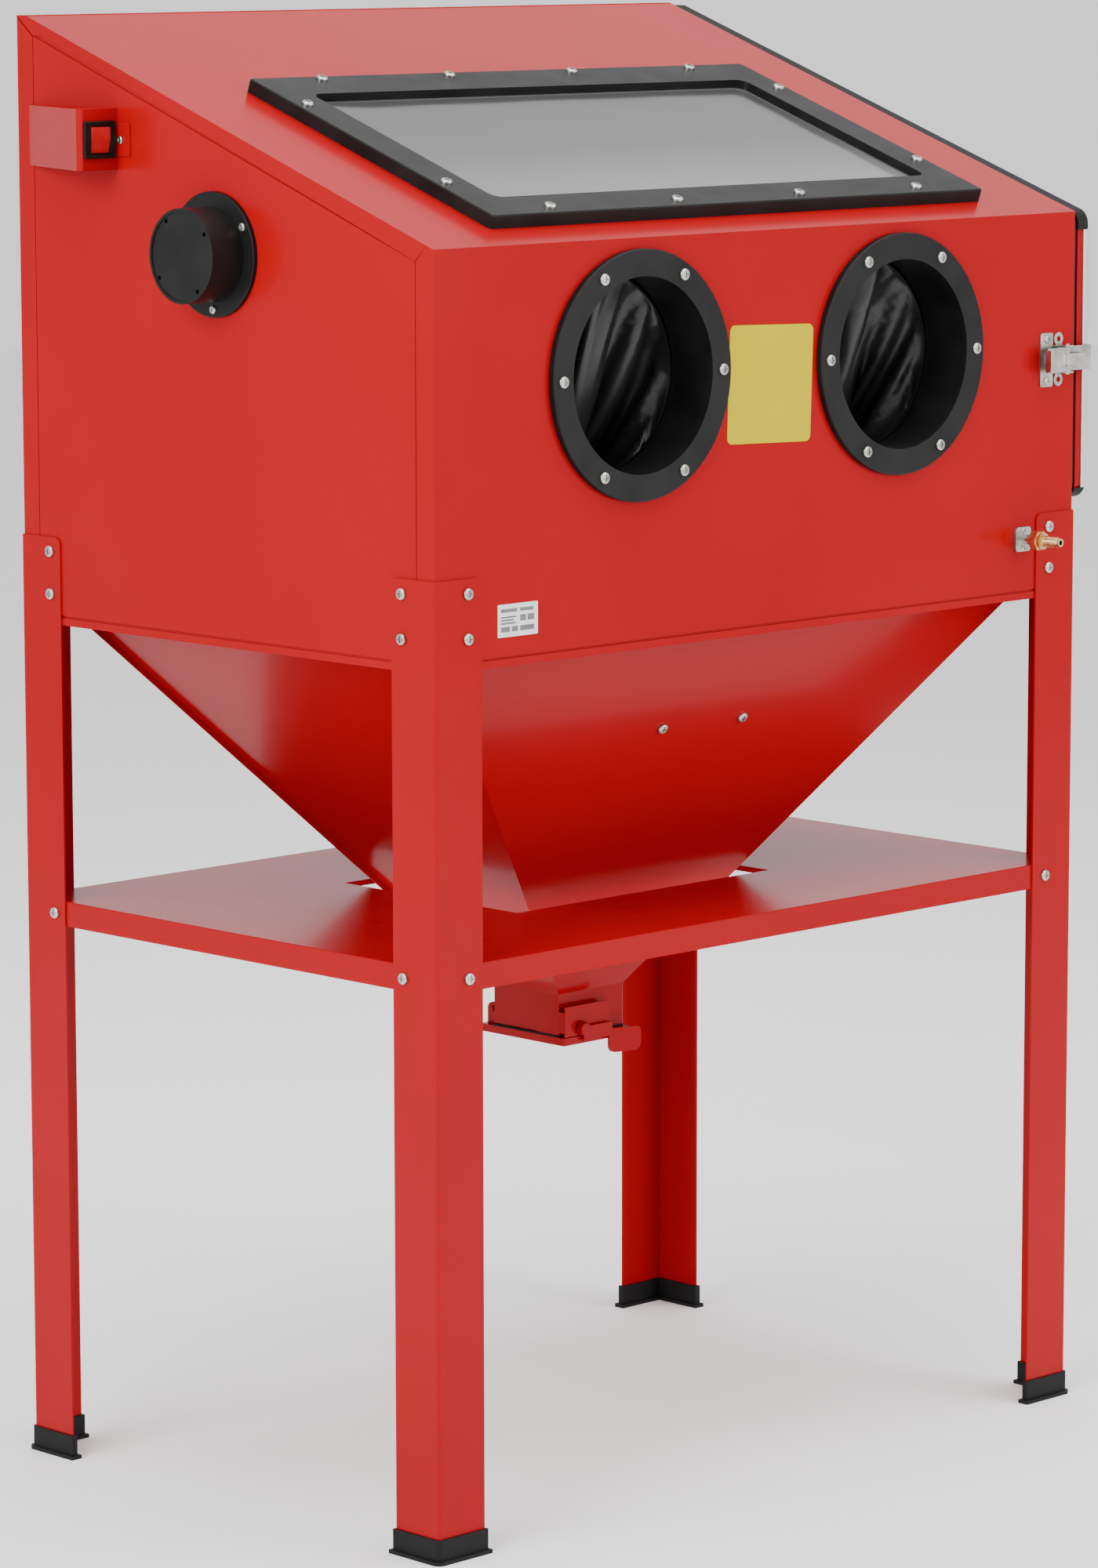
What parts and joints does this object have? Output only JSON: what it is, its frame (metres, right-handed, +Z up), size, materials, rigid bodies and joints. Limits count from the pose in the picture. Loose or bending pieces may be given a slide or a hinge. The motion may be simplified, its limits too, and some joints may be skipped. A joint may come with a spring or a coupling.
{
  "type": "sandblast cabinet",
  "caption": "Floor-standing sandblast cabinet: red sheet-metal chamber with sloping window, side door, glove ports, funnel hopper with dump door, angle legs and shelf.",
  "frame": {"origin": "on the floor, at the middle of the whole object's box", "axes": "+Z up, -Y towards the front with the glove ports, +X towards the side door"},
  "size_m": [1.012, 0.6804, 1.4966],
  "materials": {
    "red_paint": "gloss",
    "black_plastic": "satin",
    "black_rubber": "matte",
    "glove_rubber": "satin",
    "zinc_steel": "satin",
    "strip_aluminium": "satin",
    "window_glass": "gloss",
    "lamp_lens": "satin",
    "brass": "satin",
    "yellow_label": "satin",
    "silver_label": "satin",
    "rocker_red": "gloss",
    "gun_aluminium": "satin",
    "nozzle_steel": "matte"
  },
  "bodies": {
    "cabinet": {"back_panel": "red_paint", "clamp_pin": "red_paint", "cuff_bands": "zinc_steel", "door_seal": "black_rubber", "dump_hinge": "red_paint", "dust_cap": "black_plastic", "dust_port": "black_plastic", "feet": "black_rubber", "front_panel": "red_paint", "glove_cuffs": "black_rubber", "glove_l": "glove_rubber", "glove_r": "glove_rubber", "glove_rings": "black_plastic", "gun_body": "gun_aluminium", "gun_clip": "zinc_steel", "gun_nozzle": "nozzle_steel", "hinge_leaves_fixed": "zinc_steel", "hinge_pins": "zinc_steel", "hopper_back": "red_paint", "hopper_front": "red_paint", "hopper_rim": "red_paint", "hopper_sides": "red_paint", "inlet_body": "zinc_steel", "inlet_nipple": "brass", "label_plate": "yellow_label", "lamp_housing": "black_plastic", "lamp_lens": "lamp_lens", "latch_base": "zinc_steel", "latch_pin": "zinc_steel", "left_panel": "red_paint", "leg_bl": "red_paint", "leg_br": "red_paint", "leg_fl": "red_paint", "leg_fr": "red_paint", "outlet_box": "red_paint", "outlet_clamp": "red_paint", "pan_head_screws": "zinc_steel", "rating_plate": "silver_label", "right_frame": "red_paint", "shelf": "red_paint", "small_screws": "zinc_steel", "switch_bezel": "black_plastic", "switch_housing": "red_paint", "top_panel": "red_paint", "window_frame": "black_plastic", "window_gasket": "black_rubber", "window_glass": "window_glass", "work_grid": "zinc_steel"},
    "door": {"door_panel": "red_paint", "door_trim": "black_rubber", "door_strip": "strip_aluminium", "door_keeper": "zinc_steel", "hinge_leaves_door": "zinc_steel"},
    "lever": {"latch_lever": "zinc_steel"},
    "claw": {"latch_claw": "zinc_steel"},
    "rocker": {"switch_rocker": "rocker_red"},
    "dump": {"dump_door": "red_paint", "dump_gasket": "black_rubber"},
    "clamp_lever": {"dump_lever": "red_paint"},
    "trigger": {"gun_trigger": "gun_aluminium"}
  },
  "joints": [
    {"name": "door_hinge", "type": "hinge", "parent": "cabinet", "child": "door", "pos_m": [0.5, 0.33425, 1.227], "axis": [0, 0, 1], "range_deg": [0, 110]},
    {"name": "latch_lever_turn", "type": "hinge", "parent": "cabinet", "child": "lever", "pos_m": [0.457, -0.29275, 1.13], "axis": [0, 0, 1], "range_deg": [0, 90]},
    {"name": "latch_claw_turn", "type": "hinge", "parent": "lever", "child": "claw", "pos_m": [0.448, -0.29375, 1.13], "axis": [0, 0, 1], "range_deg": [-105, 5]},
    {"name": "rocker_tilt", "type": "hinge", "parent": "cabinet", "child": "rocker", "pos_m": [-0.48355, 0.17675, 1.3759], "axis": [-1, 0, 0], "range_deg": [0, 15]},
    {"name": "dump_door_swing", "type": "hinge", "parent": "cabinet", "child": "dump", "pos_m": [0.009, 0.07875, 0.447], "axis": [1, 0, 0], "range_deg": [0, 95]},
    {"name": "clamp_lever_turn", "type": "hinge", "parent": "cabinet", "child": "clamp_lever", "pos_m": [-0.016, -0.03925, 0.44], "axis": [0, 1, 0], "range_deg": [0, 90]},
    {"name": "trigger_pull", "type": "hinge", "parent": "cabinet", "child": "trigger", "pos_m": [-0.159, 0.28475, 1.16], "axis": [0, -1, 0], "range_deg": [0, 18], "stiffness_Nm_per_rad": 0.06, "springref_deg": -11.46}
  ],
  "couplings": [
    {"joint": "latch_claw_turn", "follows": "latch_lever_turn", "ratio": -1.15}
  ]
}
